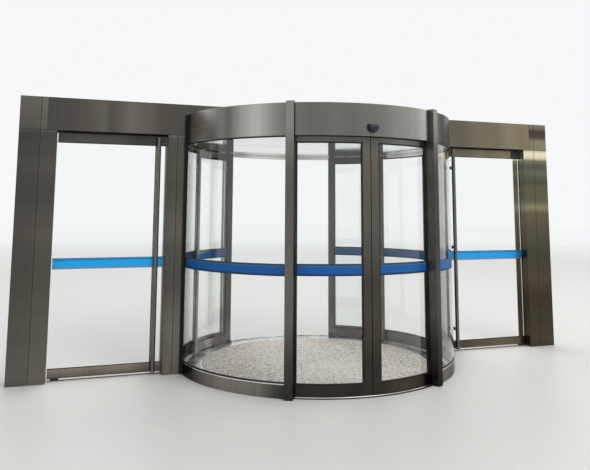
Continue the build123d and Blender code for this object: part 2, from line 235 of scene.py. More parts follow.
def member_outline(width, foot_groove=False):
    """Section of a leaf's member, in radius and in distance from its outer edge, anticlockwise: a
    rounded bar with the glazing groove in its inner edge, a bead joint on the drum side, and in the
    bottom rail a groove for the floor guide."""
    inner = LEAF["inner"]
    groove = (LEAF_GLASS["outer"] - LEAF_GLASS["inner"]) / 2 + 0.0003
    depth = sizes().glazing_depth
    bead, bead_joint, guide, guide_depth = 0.02, 0.0012, 0.008, 0.025
    body = rounded_rectangle(inner, LEAF["outer"], 0, width, sizes().edge_radius)
    top_notch = [(LEAF_RADIUS + groove, width), (LEAF_RADIUS + groove, width - depth),
                 (LEAF_RADIUS - groove, width - depth), (LEAF_RADIUS - groove, width)]
    bead_notch = [(inner, width - bead), (inner + bead_joint, width - bead),
                  (inner + bead_joint, width - bead - bead_joint), (inner, width - bead - bead_joint)]
    foot_notch = [(LEAF_RADIUS - guide, 0), (LEAF_RADIUS - guide, guide_depth),
                  (LEAF_RADIUS + guide, guide_depth), (LEAF_RADIUS + guide, 0)] if foot_groove else []
    return np.array([*body[:8], *top_notch, *body[8:12], *bead_notch, *body[12:], *foot_notch])


def film_outline(glass_face, outward=1):
    """Section of the safety film on a glass face, in radius and height. Outward is minus 1 for the
    face that looks at the drum's middle."""
    near = glass_face + outward * sizes().film_gap
    low, high = sorted((near, near + outward * sizes().film_thickness))
    return rounded_rectangle(low, high, sizes().film_bottom, sizes().film_bottom + sizes().film_height)


def film_outlines(limits):
    """Sections of the film on both faces of a curved pane."""
    return [film_outline(limits["outer"]), film_outline(limits["inner"], -1)]


def mirrored(outline, offset):
    """Outline with its second value measured back from an offset, kept anticlockwise."""
    return np.column_stack([outline[:, 0], offset - outline[:, 1]])[::-1]


def bent_plan(outline, bearing):
    """Outline of radius and arc length bent round the drum's axis from a bearing: a point is (radius
    sin angle, minus radius cos angle), where the angle is the bearing plus arc over leaf radius."""
    angle = np.radians(bearing) + outline[:, 1] / LEAF_RADIUS
    return np.column_stack([outline[:, 0] * np.sin(angle), -outline[:, 0] * np.cos(angle)])


# Closed shells: each function returns points and faces, and faces point outwards

def strip_faces(count, around, backward=False):
    """Quads between count closed sections of around points each, and the two end faces. Backward is
    for sections that follow each other against the way their outline turns."""
    section = np.arange(count - 1)[:, None] * around
    here = np.arange(around)[None, :]
    there = (here + 1) % around
    quads = np.stack([section + here, section + there, section + around + there,
                      section + around + here], axis=2).reshape(-1, 4)
    ends = [list(range(around))[::-1], list(range((count - 1) * around, count * around))]
    if backward:
        quads = quads[:, [0, 3, 2, 1]]
        ends = [end[::-1] for end in ends]
    return quads.tolist() + ends


def turned_shell(outline, start, end):
    """Outline of radius and height carried round the drum's axis: a point is (radius sin bearing,
    minus radius cos bearing, height). Both ends are closed."""
    count = max(2, int(math.ceil((end - start) / sizes().sweep_pitch)) + 1)
    bearing = np.radians(np.linspace(start, end, count))[:, None]
    radius, height = outline[:, 0][None, :], outline[:, 1][None, :]
    points = np.stack([radius * np.sin(bearing), -radius * np.cos(bearing),
                       np.broadcast_to(height, (count, len(outline)))], axis=2)
    return points.reshape(-1, 3), strip_faces(count, len(outline), True)


def turned_shells(outlines, spans):
    """Each outline carried through each span of bearing."""
    return [turned_shell(outline, *span) for outline in outlines for span in spans]


def about(middles, reach):
    """Spans of bearing that reach equally far to both sides of each middle."""
    return [(middle - reach, middle + reach) for middle in middles]


def between_posts(margin):
    """The four spans of bearing between the drum's posts, less a margin in degrees at both ends."""
    corners = [POST_BEARING, 180 - POST_BEARING, 180 + POST_BEARING, 360 - POST_BEARING,
               360 + POST_BEARING]
    return [(start + margin, end - margin) for start, end in zip(corners, corners[1:])]


def straight_shell(outline, axis, low, high):
    """Outline carried straight along an axis, by its number, from low to high."""
    points = np.vstack([np.insert(outline, axis, place, axis=1) for place in (low, high)])
    return points, strip_faces(2, len(outline))


def upright_shell(plan, bottom, top):
    """Anticlockwise plan outline carried straight up."""
    return straight_shell(plan, 2, bottom, top)


def level_bar_shell(outline, low, high):
    """Anticlockwise outline of y and z carried along X from low to high."""
    return straight_shell(outline, 0, low, high)


def lathed_shell(base, axis, stations, around=40):
    """Round shell on an axis from a base point: at each station, a pair of distance and radius, a ring
    of base plus distance along the axis plus radius times cosine and sine across it."""
    axis = np.array(Vector(axis).normalized())
    across = np.array(Vector(axis).orthogonal().normalized())
    other = np.cross(axis, across)
    angle = np.linspace(0, 2 * np.pi, around, endpoint=False)[None, :, None]
    distance, radius = np.array(stations).T[:, :, None, None]
    rings = np.array(base) + distance * axis + radius * (np.cos(angle) * across + np.sin(angle) * other)
    return rings.reshape(-1, 3), strip_faces(len(stations), around)


def make_piece(name, shells, body, finish, replaces=(), crease=32.0):
    """One mesh from closed shells in a named finish. Edges sharper than the crease angle stay sharp."""
    offsets = np.cumsum([0] + [len(points) for points, _ in shells])
    points = np.vstack([points for points, _ in shells])
    faces = [[index + offset for index in face]
             for (_, shell_faces), offset in zip(shells, offsets) for face in shell_faces]
    mesh = bpy.data.meshes.new(name)
    mesh.from_pydata(points.tolist(), [], faces)
    mesh.materials.append(finish_of(finish))
    mesh.shade_smooth()
    mesh.set_sharp_from_angle(angle=math.radians(crease))
    mesh.validate()
    piece = bpy.data.objects.new(name, mesh)
    bpy.context.scene.collection.objects.link(piece)
    weighted = piece.modifiers.new("even_shading", "WEIGHTED_NORMAL")
    weighted.keep_sharp = True
    weighted.weight = 100
    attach(piece, body)
    if replaces:
        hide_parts(*replaces)


def finish_nodes(finish, *nodes):
    """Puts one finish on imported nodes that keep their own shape."""
    for node in nodes:
        for material_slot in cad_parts[node].material_slots:
            material_slot.material = finish_of(finish)


# Finishes

class Finish:
    """Short calls for the nodes that finishes share, in the node tree of a material or a world, whose
    surface is the shader that the tree starts with."""

    def __init__(self, owner, surface="Principled BSDF"):
        owner.use_nodes = True
        self.owner = owner
        self.tree = owner.node_tree
        self.surface = self.tree.nodes[surface]

    def feed(self, socket, value):
        """Links a socket to another node's output, or sets it to a plain value."""
        if isinstance(value, NodeSocket):
            self.tree.links.new(value, socket)
        else:
            socket.default_value = value

    def set(self, **values):
        """Feeds the shader's own sockets, named in lower case with underscores."""
        for socket, value in values.items():
            title = socket.replace("_", " ").title().replace("Ior", "IOR")
            self.feed(self.surface.inputs[title], value)

    def node(self, kind, output, inputs, **settings):
        """An output of a new node, whose inputs are fed by name or by number."""
        node = self.tree.nodes.new(f"ShaderNode{kind}")
        for key, value in settings.items():
            setattr(node, key, value)
        for socket, value in inputs.items():
            self.feed(node.inputs[socket], value)
        return node.outputs[output]

    def mixed(self, share, second):
        """Mixes the shader that the tree starts with and a second one, and shows the result."""
        shader = self.node("MixShader", "Shader", {"Fac": share, 1: self.surface.outputs["BSDF"], 2: second})
        self.feed(self.tree.nodes["Material Output"].inputs["Surface"], shader)

    def coordinates(self, stretch=(1, 1, 1)):
        """Object coordinates, scaled by a number along each axis."""
        place = self.node("TexCoord", "Object", {})
        return self.node("Mapping", "Vector", {"Vector": place, "Scale": stretch})

    def coordinate(self, axis):
        """One of the three object coordinates."""
        return self.node("SeparateXYZ", axis, {"Vector": self.coordinates()})

    def noise(self, *stretch, detail=2.0, roughness=0.5):
        """Noise over object coordinates scaled by one number, or by one along each axis."""
        vector = self.coordinates(stretch if len(stretch) == 3 else stretch * 3)
        return self.node("TexNoise", "Fac", {"Vector": vector, "Scale": 1.0, "Detail": detail,
                                             "Roughness": roughness})

    def remap(self, value, low, high, source_low=0.3, source_high=0.7):
        """Straight line from the source range to low and high, held at both ends."""
        return self.node("MapRange", "Result", {"Value": value, "From Min": source_low,
                                                "From Max": source_high, "To Min": low, "To Max": high})

    def add(self, total, *others):
        """Sum of two or more values."""
        for other in others:
            total = self.node("Math", "Value", {0: total, 1: other}, operation="ADD")
        return total

    def ramp(self, factor, stops, interpolation="LINEAR"):
        """Colour ramp through stops, each a place and a colour or a grey."""
        colour = self.node("ValToRGB", "Color", {"Fac": factor})
        ramp = colour.node.color_ramp
        ramp.interpolation = interpolation
        while len(ramp.elements) < len(stops):
            ramp.elements.new(1.0)
        for element, (place, value) in zip(ramp.elements, stops):
            element.position = place
            element.color = (*np.broadcast_to(value, 3), 1.0)
        return colour

    def bump(self, height, distance, strength=1.0, **before):
        """Normal of a bumped surface. Before may hold the Normal that it is added to."""
        return self.node("Bump", "Normal", {"Height": height, "Distance": distance,
                                            "Strength": strength, **before})

    def tone(self, colour, axis, stops):
        """Colour times factors given at places along X or Z, or at bearings in degrees, which paint slow
        reflections and shade. A factor is one number or one for each of red, green and blue."""
        first, last = stops[0][0], stops[-1][0]
        peak = max(np.max(factor) for _, factor in stops)
        if axis == "BEARING":
            share = self.node("TexGradient", "Fac", {"Vector": self.coordinates()}, gradient_type="RADIAL")
        else:
            share = self.remap(self.coordinate(axis), 0.0, 1.0, first, last)
        shares = [((place - first) / (last - first), np.divide(factor, peak)) for place, factor in stops]
        product = self.node("VectorMath", "Vector", {0: colour, 1: self.ramp(share, shares)},
                            operation="MULTIPLY")
        return self.node("VectorMath", "Vector", {0: product, "Scale": peak}, operation="SCALE")


def shade(colour, factor):
    """Colour times a factor, held under 1."""
    return tuple(min(1.0, channel * factor) for channel in colour)


def brushed_steel(finish, colour, upright=False, roughness=(0.24, 0.36), contrast=0.3, streak_share=0.14,
                  tones=(), grazing=0.45):
    """Brushed stainless sheet. Its grain runs up or level, and its colour has fine grain, and streaks and
    broad soft bands that are painted reflections, lying across an upright grain and upright on a level
    one, as reflections do in brushed sheet. Tones then paint slow reflections and shade along an axis
    or round the drum. Grazing is how much of the pale studio it mirrors at a flat angle."""
    grain = finish.noise(*((700, 700, 5) if upright else (5, 5, 700)), detail=3)
    # Streaks, broad bands and the warm top stop are painted reflections; the fine grain is the sheet's own
    streaks = finish.noise(*((0.5, 0.5, 14) if upright else (26, 26, 0.5)), detail=3, roughness=0.6)
    broad = finish.noise(*((0.3, 0.3, 1.7) if upright else (2.6, 2.6, 0.25)), detail=1)
    blend = finish.add(finish.remap(broad, 0.0, 0.66), finish.remap(streaks, 0.0, streak_share),
                       finish.remap(grain, 0.0, 0.08))
    light = shade(colour, 1 + contrast)
    warm = (light[0] * 1.06, light[1], light[2] * 0.9)
    toned = finish.ramp(blend, [(0.0, shade(colour, 1 - contrast)), (0.5, colour), (0.8, light),
                                (1.0, warm)])
    # Tones paint slow reflections and shade along an axis or round the drum
    for axis, stops in tones:
        toned = finish.tone(toned, axis, stops)
    waves = finish.bump(finish.noise(1.6, 1.6, 2.3, detail=1), 0.0006)
    finish.set(base_color=toned, roughness=finish.remap(grain, *roughness), metallic=1.0,
               anisotropic=0.55, anisotropic_rotation=0.0 if upright else 0.25,
               specular_tint=(grazing, grazing, grazing, 1.0),
               tangent=finish.node("Tangent", "Tangent", {}, direction_type="RADIAL", axis="Z"),
               normal=finish.bump(grain, 0.00005, 0.35, Normal=waves))


def satin_tube(finish, colour):
    """Ground steel tube: level grinding marks round it and a soft sheen."""
    marks = finish.noise(5, 5, 2200)
    soft = finish.noise(1.4, 1.4, 2.2, detail=1)
    blend = finish.add(finish.remap(marks, 0.0, 0.22), finish.remap(soft, 0.0, 0.78))
    finish.set(base_color=finish.ramp(blend, [(0.0, shade(colour, 0.8)), (1.0, shade(colour, 1.25))]),
               roughness=finish.remap(marks, 0.2, 0.3), normal=finish.bump(marks, 0.00002, 0.3),
               metallic=1.0)


def mirror_sheet(finish, colour):
    """Polished sheet, slightly wavy, with long soft streaks and a faint cloud of wear in its gloss."""
    clouds = finish.noise(1.3, detail=4)
    streaks = finish.noise(1.1, 7.0, 9.0, detail=3)
    blend = finish.add(finish.remap(clouds, 0.0, 0.35), finish.remap(streaks, 0.0, 0.65))
    stops = [(0.05, shade(colour, 0.72)), (0.4, shade(colour, 0.95)), (0.8, shade(colour, 1.06))]
    finish.set(base_color=finish.ramp(blend, stops), roughness=finish.remap(clouds, 0.05, 0.12),
               normal=finish.bump(finish.noise(2.1, 0.9, 1.0), 0.004, 0.6), metallic=1.0)


def clear_glass(finish, tint):
    """Float glass: slightly green, with a faint wave and wiping marks in its gloss. Light that makes
    shadows passes straight through."""
    wiping = finish.noise(1.5, 1.5, 3.5, detail=5)
    finish.set(base_color=finish.ramp(wiping, [(0.3, shade(tint, 0.985)), (0.7, tint)]),
               roughness=finish.remap(wiping, 0.0, 0.02),
               normal=finish.bump(finish.noise(0.9, 0.9, 0.7, detail=1), 0.0004, 0.5),
               transmission_weight=1.0, ior=1.45, specular_ior_level=0.35)
    finish.mixed(finish.node("LightPath", "Is Shadow Ray", {}),
                 finish.node("BsdfTransparent", "BSDF", {"Color": (*tint, 1.0)}))


def worn_surface(finish, scale, detail, stops, roughness, **values):
    """Even material whose colour and roughness follow one noise. Values are the shader's others."""
    wear = finish.noise(scale, detail=detail)
    finish.set(base_color=finish.ramp(wear, stops), roughness=finish.remap(wear, *roughness), **values)


def black_rubber(finish, bloom):
    """Matt black rubber with a dusty bloom."""
    worn_surface(finish, 9, 6, [(0.35, 0.007), (0.75, bloom)], (0.5, 0.7), specular_ior_level=0.3,
                 normal=finish.bump(finish.noise(420), 0.0002, 0.4))


def black_gloss(finish, light):
    """Glossy dark moulded plastic with a faint blue and a fine moulding grain."""
    worn_surface(finish, 260, 3, [(0.3, (0.006, 0.010, 0.020)), (0.7, light)], (0.2, 0.3),
                 specular_ior_level=0.3, coat_weight=0.12, coat_roughness=0.08)


def black_paint(finish, worn):
    """Satin black paint on a metal block, a little worn."""
    worn_surface(finish, 30, 5, [(0.3, 0.012), (0.62, 0.02), (0.8, worn)], (0.38, 0.55),
                 normal=finish.bump(finish.noise(300), 0.0001, 0.5))


def mill_aluminium(finish, light):
    """Plain drawn aluminium with faint marks."""
    worn_surface(finish, 60, 4, [(0.3, 0.42), (0.7, light)], (0.35, 0.5), metallic=1.0)


def safety_film(finish, colour, foot, line, head, light_through):
    """Printed film in levels of blue, from its foot up: the edge, the main field, a line and the head."""
    low = sizes().film_bottom
    share = finish.remap(finish.coordinate("Z"), 0.0, 1.0, low, low + sizes().film_height)
    levels = [(0.0, foot), (0.17, colour), (0.77, line), (0.84, head)]
    finish.set(base_color=finish.ramp(share, levels, "CONSTANT"),
               roughness=finish.remap(finish.noise(40, detail=3), 0.4, 0.52),
               specular_ior_level=0.1, transmission_weight=light_through)


def mat_pile(finish, colour):
    """Short loop pile of light and dark yarns, with a painted pool of daylight that makes it paler across
    its middle.
    """
    yarn = finish.noise(210, detail=4, roughness=0.7)
    speckle = finish.noise(32, 38, 32, detail=6, roughness=0.85)
    patches = finish.noise(2.2, 1.4, 2.2, detail=1)
    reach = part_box("entrance_mat")[1].x
    across = finish.remap(finish.coordinate("X"), 0.0, 1.0, -reach, reach)
    # Painted daylight: the pile paler across the mat's middle
    painted_daylight = finish.ramp(across, [((x + reach) / (2 * reach), share) for x, share in PAINTED_DAYLIGHT_ON_MAT])
    blend = finish.add(finish.remap(yarn, 0.0, 0.28, 0.36, 0.64),
                       finish.remap(speckle, -0.04, 0.64, 0.43, 0.57),
                       finish.remap(patches, 0.0, 0.12), finish.remap(painted_daylight, -0.12, 0.17, 0.0, 1.0))
    stops = [(0.12, shade(colour, 0.3)), (0.5, colour), (0.78, (1.0, 0.94, 0.86))]
    finish.set(base_color=finish.ramp(blend, stops), normal=finish.bump(yarn, 0.003, 0.7), roughness=0.95,
               sheen_weight=0.3, sheen_roughness=0.6)


# Painted reflections and shade: factors on the colour of a steel along X or Z, or round the drum
# Painted reflections round the drum's bands: light and dark streaks by bearing
BAND_PAINTED_REFLECTIONS = ("BEARING", [
    (-90, 0.7), (-85, 2.6), (-79, 5.6), (-72, 5.8), (-67, 4.9), (-61, 2.0), (-55, 1.1), (-49, 2.6),
    (-43, 3.3), (-37, 1.8), (-31, 1.2), (-14, 1.12), (-7, 0.86), (-1, 0.8), (5, 0.98), (11, 1.6),
    (17, 1.9), (23, 1.65), (29, 2.1), (36, 1.1), (41, 0.85), (47, 2.6), (54, 2.35), (60, 1.45), (66, 2.0),
    (72, 2.6), (77, 1.2), (90, 0.6), (130, 1.6), (180, 1.0), (225, 1.8), (270, 0.7)
])
# Painted reflections and shade on the sills, by bearing
SILL_PAINTED_REFLECTIONS = ("BEARING", [
    (-90, 0.3), (-75, 0.5), (-60, 1.95), (-50, 1.3), (-40, 1.35), (-35, 0.55), (-30, 0.3), (30, 1.1),
    (40, 1.8), (50, 1.6), (60, 1.5), (90, 1.0), (180, 1.0), (270, 0.3)
])
# Painted shade at the posts' feet and painted reflections higher up
POST_PAINTED_LIGHT_BY_HEIGHT = ("Z", [
    (0.0, 0.35), (0.3, 0.72), (0.6, 1.45), (0.9, 1.6), (1.2, 1.15), (1.8, 1.15), (2.05, 1.6), (2.2, 2.3),
    (2.4, 2.3)
])
# Painted light: the left post lighter than the right
POST_PAINTED_LIGHT_BY_SIDE = ("X", [(-0.7, 1.08), (-0.6, 1.08), (0.6, 0.8), (0.7, 0.8)])
# Painted shade low on the inner leaves and painted reflections higher up
LEAF_PAINTED_LIGHT_BY_HEIGHT = ("Z", [
    (0.0, (0.43, 0.37, 0.34)), (0.3, (0.55, 0.5, 0.47)), (0.6, (0.98, 0.9, 0.78)),
    (0.95, (0.9, 0.82, 0.75)), (1.2, (1.02, 1.08, 1.05)), (1.5, (1.25, 1.3, 1.1)),
    (1.8, (1.45, 1.35, 1.12)), (2.0, (1.2, 1.2, 1.1)), (2.06, (0.9, 0.95, 0.95)),
    (2.13, (0.75, 0.85, 0.9))
])
# Painted reflections on the inner leaves, by bearing
LEAF_PAINTED_REFLECTIONS = ("BEARING", [
    (-90, 1.0), (-25, 1.0), (-22, 1.1), (-14, 1.05), (-7, 0.85), (-3, 1.0), (4, 1.0), (7, 1.2), (14, 1.6),
    (20, 1.25), (24, 1.0), (270, 1.0)
])
# Painted highlight along the outer leaves' foot and painted shade at their top
OUTER_LEAF_PAINTED_LIGHT_BY_HEIGHT = ("Z", [
    (0.0, 2.0), (0.09, 1.8), (0.12, 2.0), (0.3, 1.4), (0.5, 1.25), (0.9, 1.0), (1.3, 1.05), (1.5, 0.9),
    (1.7, 0.65), (2.0, 0.52), (2.1, 0.58)
])
# Painted highlight streaks on the outer leaves' stiles and rails, by bearing
OUTER_LEAF_PAINTED_REFLECTIONS = ("BEARING", [
    (-90, 1.0), (133, 1.0), (135, 0.75), (147, 0.75), (149, 1.0), (211, 1.0), (213, 0.75), (218, 0.8),
    (220.5, 1.8), (223, 4.2), (226, 4.5), (228.5, 1.8), (231, 1.3), (235, 1.3), (237, 2.2), (240, 2.2),
    (242, 1.0), (270, 1.0)
])
# Painted reflections up the left column and wall post
LEFT_COLUMN_PAINTED_REFLECTIONS = ("Z", [
    (0.0, 2.3), (0.2, 2.2), (0.5, 1.65), (0.8, 1.1), (1.1, 1.1), (1.4, 1.3), (1.7, 1.08), (2.0, 1.06),
    (2.15, 1.0), (2.19, 1.7), (2.48, 1.9)
])
# Painted light across the left column and wall post: darker outside, lighter by the drum
LEFT_COLUMN_PAINTED_SIDE_LIGHT = ("X", [
    (-2.82, 0.78), (-2.67, 0.82), (-2.64, 0.92), (-2.5, 0.92), (-1.53, 0.95), (-1.45, 1.15),
    (-1.35, 1.15)
])
# Painted reflections up the right column and wall post, with a bright painted reflection of a window near
# the header
RIGHT_COLUMN_PAINTED_REFLECTIONS = ("Z", [
    (0.0, (1.0, 0.9, 0.7)), (0.3, (0.75, 0.68, 0.55)), (0.55, (0.7, 0.6, 0.5)), (0.8, (0.95, 0.85, 0.7)),
    (1.1, (1.0, 0.95, 0.85)), (1.38, (1.3, 1.2, 1.0)), (1.46, (1.35, 1.3, 1.0)), (1.53, (2.6, 2.5, 1.9)),
    (1.6, (1.3, 1.35, 1.05)), (1.75, (1.55, 1.5, 1.2)), (1.82, (1.1, 1.2, 0.95)), (1.92, (1.9, 2.0, 1.7)),
    (2.0, (1.35, 1.5, 1.2)), (2.06, (2.8, 2.8, 2.2)), (2.09, (10.5, 10.0, 8.6)),
    (2.15, (11.7, 11.4, 9.9)), (2.19, (3.2, 3.0, 2.5)), (2.28, (3.2, 3.1, 2.6)), (2.33, (1.1, 1.0, 0.85)),
    (2.4, (0.95, 0.88, 0.75)), (2.46, (2.9, 2.75, 2.2))
])
# Painted reflections along the headers, beam and right rails, lighter and warmer to the right
HEADER_PAINTED_REFLECTIONS = ("X", [
    (-2.6, 1.1), (-2.2, 1.05), (-2.12, 1.5), (-2.03, 1.0), (-1.85, 1.85), (-1.7, 1.7), (-1.6, 1.05),
    (-1.4, 0.8), (-1.0, 1.2), (1.3, 1.4), (1.6, (1.65, 1.65, 1.5)), (2.0, (2.8, 2.6, 2.1)),
    (2.2, (2.7, 2.5, 2.0)), (2.6, (3.2, 2.9, 2.1))
])
# Painted shade along the header's lower edge, where its underside shows
HEADER_PAINTED_UNDERSIDE_SHADE = ("Z", [
    (HEADER_BOTTOM - 0.009, 1.0), (HEADER_BOTTOM - 0.0008, 1.0), (HEADER_BOTTOM, 0.28),
    (HEADER_BOTTOM + 0.003, 0.4), (HEADER_BOTTOM + 0.006, 1.0)
])
# Painted shade line over the bright foot strip, and a painted highlight along the left rails
LEFT_RAIL_PAINTED_LIGHT_BY_HEIGHT = ("Z", [
    (0.024, (0.6, 0.55, 0.55)), (0.032, (1.7, 1.55, 1.5)), (0.05, (2.3, 2.1, 2.05)),
    (0.098, (3.3, 3.1, 3.0)), (0.12, 1.2), (0.3, 1.0)
])
# Painted reflections along the left door's rails
LEFT_RAIL_PAINTED_REFLECTIONS = ("X", [
    (-2.5, 1.0), (-2.1, 1.1), (-2.0, 1.2), (-1.9, 1.0), (-1.8, 0.85), (-1.6, 0.75)
])
# Painted shade on the right door's bottom rail
RIGHT_RAIL_PAINTED_SHADE = ("Z", [(0.1, (0.62, 0.56, 0.56)), (0.3, 1.0)])
# Painted reflections and shade on the floor ring, by bearing
FLOOR_RING_PAINTED_REFLECTIONS = ("BEARING", [
    (-90, 1.75), (-86, 1.2), (-82, 1.5), (-72, 1.7), (-62, 1.3), (-40, 0.8), (0, 1.0), (60, 1.0),
    (90, 0.8), (130, 1.4), (180, 1.75), (225, 1.75), (250, 1.85), (270, 1.75)
])
# Painted pool of daylight across the mat: how much it lightens the pile, by place along X
PAINTED_DAYLIGHT_ON_MAT = [
    (-1.0, 0.0), (-0.88, 0.05), (-0.6, 0.4), (-0.35, 0.83), (-0.1, 1.0), (0.15, 0.9), (0.45, 0.5),
    (0.65, 0.15), (0.9, 0.0)
]

# Each finish: the function that makes it, its colour, and its other values
FINISHES = {
    # The column, rail and leaf steels are copies of one colour each, lit and shaded differently by painted
    # reflections and shade
    "left_column_steel": (brushed_steel, "facade_steel", dict(
        upright=True, contrast=0.25, tones=[LEFT_COLUMN_PAINTED_REFLECTIONS, LEFT_COLUMN_PAINTED_SIDE_LIGHT])),
    "right_column_steel": (brushed_steel, "facade_steel", dict(upright=True, tones=[RIGHT_COLUMN_PAINTED_REFLECTIONS])),
    "header_steel": (brushed_steel, "facade_steel", dict(tones=[HEADER_PAINTED_REFLECTIONS, HEADER_PAINTED_UNDERSIDE_SHADE])),
    # Darker and duller than the header steel: painted shade under the headers
    "soffit_steel": (brushed_steel, (0.06, 0.055, 0.046), dict(roughness=(0.4, 0.55), grazing=0.1)),
    "left_rail_steel": (brushed_steel, "facade_steel", dict(
        tones=[LEFT_RAIL_PAINTED_REFLECTIONS, LEFT_RAIL_PAINTED_LIGHT_BY_HEIGHT])),
    "right_rail_steel": (brushed_steel, "facade_steel", dict(tones=[HEADER_PAINTED_REFLECTIONS, RIGHT_RAIL_PAINTED_SHADE])),
    "band_steel": (brushed_steel, "band_steel", dict(contrast=0.22, tones=[BAND_PAINTED_REFLECTIONS])),
    "post_steel": (brushed_steel, "post_steel", dict(
        upright=True, contrast=0.18, tones=[POST_PAINTED_LIGHT_BY_HEIGHT, POST_PAINTED_LIGHT_BY_SIDE])),
    "leaf_steel": (brushed_steel, "leaf_steel", dict(
        upright=True, roughness=(0.2, 0.3), contrast=0.25, tones=[LEAF_PAINTED_LIGHT_BY_HEIGHT, LEAF_PAINTED_REFLECTIONS])),
    "outer_leaf_steel": (brushed_steel, "leaf_steel", dict(
        upright=True, roughness=(0.2, 0.3), tones=[OUTER_LEAF_PAINTED_LIGHT_BY_HEIGHT, OUTER_LEAF_PAINTED_REFLECTIONS])),
    "sill_steel": (brushed_steel, "sill_steel", dict(
        roughness=(0.08, 0.16), contrast=0.25, streak_share=0.3, tones=[SILL_PAINTED_REFLECTIONS])),
    "floor_ring_steel": (brushed_steel, (0.52, 0.53, 0.52), dict(
        roughness=(0.2, 0.34), contrast=0.2, streak_share=0.3, tones=[FLOOR_RING_PAINTED_REFLECTIONS])),
    "bright_trim": (mirror_sheet, (0.84, 0.83, 0.79), {}),
    "ceiling_mirror": (mirror_sheet, (0.82, 0.815, 0.80), {}),
    "lip_steel": (satin_tube, (0.82, 0.81, 0.78), {}),
    "floor_steel": (satin_tube, (0.45, 0.45, 0.44), {}),
    "cover_sheet": (satin_tube, (0.34, 0.34, 0.33), {}),
    "tube_steel": (satin_tube, "tube_steel", {}),
    "clear_glass": (clear_glass, "glass_tint", {}),
    "black_rubber": (black_rubber, (0.017, 0.017, 0.016), {}),
    "black_gloss": (black_gloss, (0.011, 0.018, 0.034), {}),
    "black_paint": (black_paint, (0.05, 0.05, 0.048), {}),
    "mill_aluminium": (mill_aluminium, (0.56, 0.56, 0.55), {}),
    "safety_film": (safety_film, "film_blue", dict(
        foot=(0.002, 0.06, 0.19), line=(0.13, 0.27, 0.42), head=(0.03, 0.105, 0.22), light_through=0.5)),
    # Brighter film: painted daylight through the film on the swing doors
    "bright_film": (safety_film, "bright_film_blue", dict(
        foot=(0.2, 0.36, 0.6), line=(0.001, 0.17, 0.46), head=(0.05, 0.33, 0.68), light_through=0.8)),
    "mat_pile": (mat_pile, "mat_colour", {}),
}


@cache
def finish_of(name):
    """The named finish, made the first time it is asked for. Its colour is a value, or the name of one
    that the user may change."""
    maker, colour, values = FINISHES[name]
    finish = Finish(bpy.data.materials.new(name))
    maker(finish, tuple(getattr(finishes(), colour)) if isinstance(colour, str) else colour, **values)
    return finish.owner


# Pieces

def joint_degrees(radius):
    """Degrees from a post's middle to the piece beside it, at a radius."""
    post_half_width = 0.035
    return math.degrees(math.asin((post_half_width + sizes().post_clearance) / radius))


# Bearing of each post from the middle of its passage
POST_BEARING = 29.8


def make_corner_strips():
    """Black strips on both faces of the facade, along the corner with the drum."""
    width, thickness, gap, corner = 0.024, 0.003, 0.0002, 0.001
    shells = []
    for side, hand in SIDES:
        post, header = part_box(f"{side}_wall_post"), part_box(f"{side}_header")
        drum_side = post[hand < 0].x
        face = header[1].y
        low, high = sorted((drum_side, drum_side + hand * width))
        for near, far in ((-face - gap - thickness, -face - gap), (face + gap, face + gap + thickness)):
            plan = rounded_rectangle(low, high, near, far, corner)
            shells.append(upright_shell(plan, 0.0, BANDS["top"]))
    make_piece("facade_corner_strips", shells, "fixed_frame", "black_rubber")


def make_soffits():
    """Dark lining sheets under each header, darker than the header as painted shade, in front of and
    behind the door, with a brush between them that stops short of the upper pivot."""
    sheet, inset, brush, brush_height, pin_clearance = 0.0008, 0.0006, 0.011, 0.0045, 0.07
    for side, hand in SIDES:
        post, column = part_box(f"{side}_wall_post"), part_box(f"{side}_end_column")
        low, high = sorted((post[hand > 0].x + hand * inset, column[hand < 0].x - hand * inset))
        face = column[1].y
        bottom, top = HEADER_BOTTOM - sheet - 0.0001, HEADER_BOTTOM - 0.0001
        linings = [level_bar_shell(rounded_rectangle(near, far, bottom, top), low, high)
                   for near, far in ((inset - face, -brush - inset), (brush + inset, face - inset))]
        make_piece(f"{side}_soffit_linings", linings, "fixed_frame",
                   "soffit_steel")
        ends = (low, high - pin_clearance) if hand > 0 else (low + pin_clearance, high)
        outline = rounded_rectangle(-brush, brush, top - brush_height, top)
        make_piece(f"{side}_header_brush", [level_bar_shell(outline, *ends)], "fixed_frame",
                   "black_rubber")


def make_seals():
    """Black sealant at the bottom of the reveals in both faces of the facade, and in the joint
    between each header and its column."""
    half_reveal, column_seam, header_bearing = 0.0024, 0.140, 0.084
    recess, depth, panel_joint, edge, hairline = 0.0008, 0.0065, 0.003, 0.0005, 0.0002
    seat_foot, seat_head = 0.0001, 0.0049
    shells = []
    for side, hand in SIDES:
        column_low, column_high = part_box(f"{side}_end_column")
        post_low, post_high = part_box(f"{side}_wall_post")
        bay_outer = column_low.x if hand > 0 else column_high.x
        column_outer = column_high.x if hand > 0 else column_low.x
        header_end = bay_outer + hand * header_bearing
        seam = bay_outer + hand * column_seam
        post_seam = (post_low.x + post_high.x) / 2
        face, top = column_high.y, column_high.z - edge
        cuts = [(seam - half_reveal, seam + half_reveal, edge, top),
                (post_seam - half_reveal, post_seam + half_reveal, edge, HEADER_BOTTOM - edge),
                (*sorted((header_end - hand * hairline, header_end - hand * (panel_joint - hairline))),
                 HEADER_BOTTOM + edge, top),
                (*sorted((header_end, column_outer)), HEADER_BOTTOM + seat_foot, HEADER_BOTTOM + seat_head)]
        for low, high, bottom, level in cuts:
            for near in (face - recess - depth, recess - face):
                far = near + depth
                shells.append(level_bar_shell(rounded_rectangle(near, far, bottom, level), low, high))
    make_piece("facade_joint_seals", shells, "fixed_frame", "black_rubber")


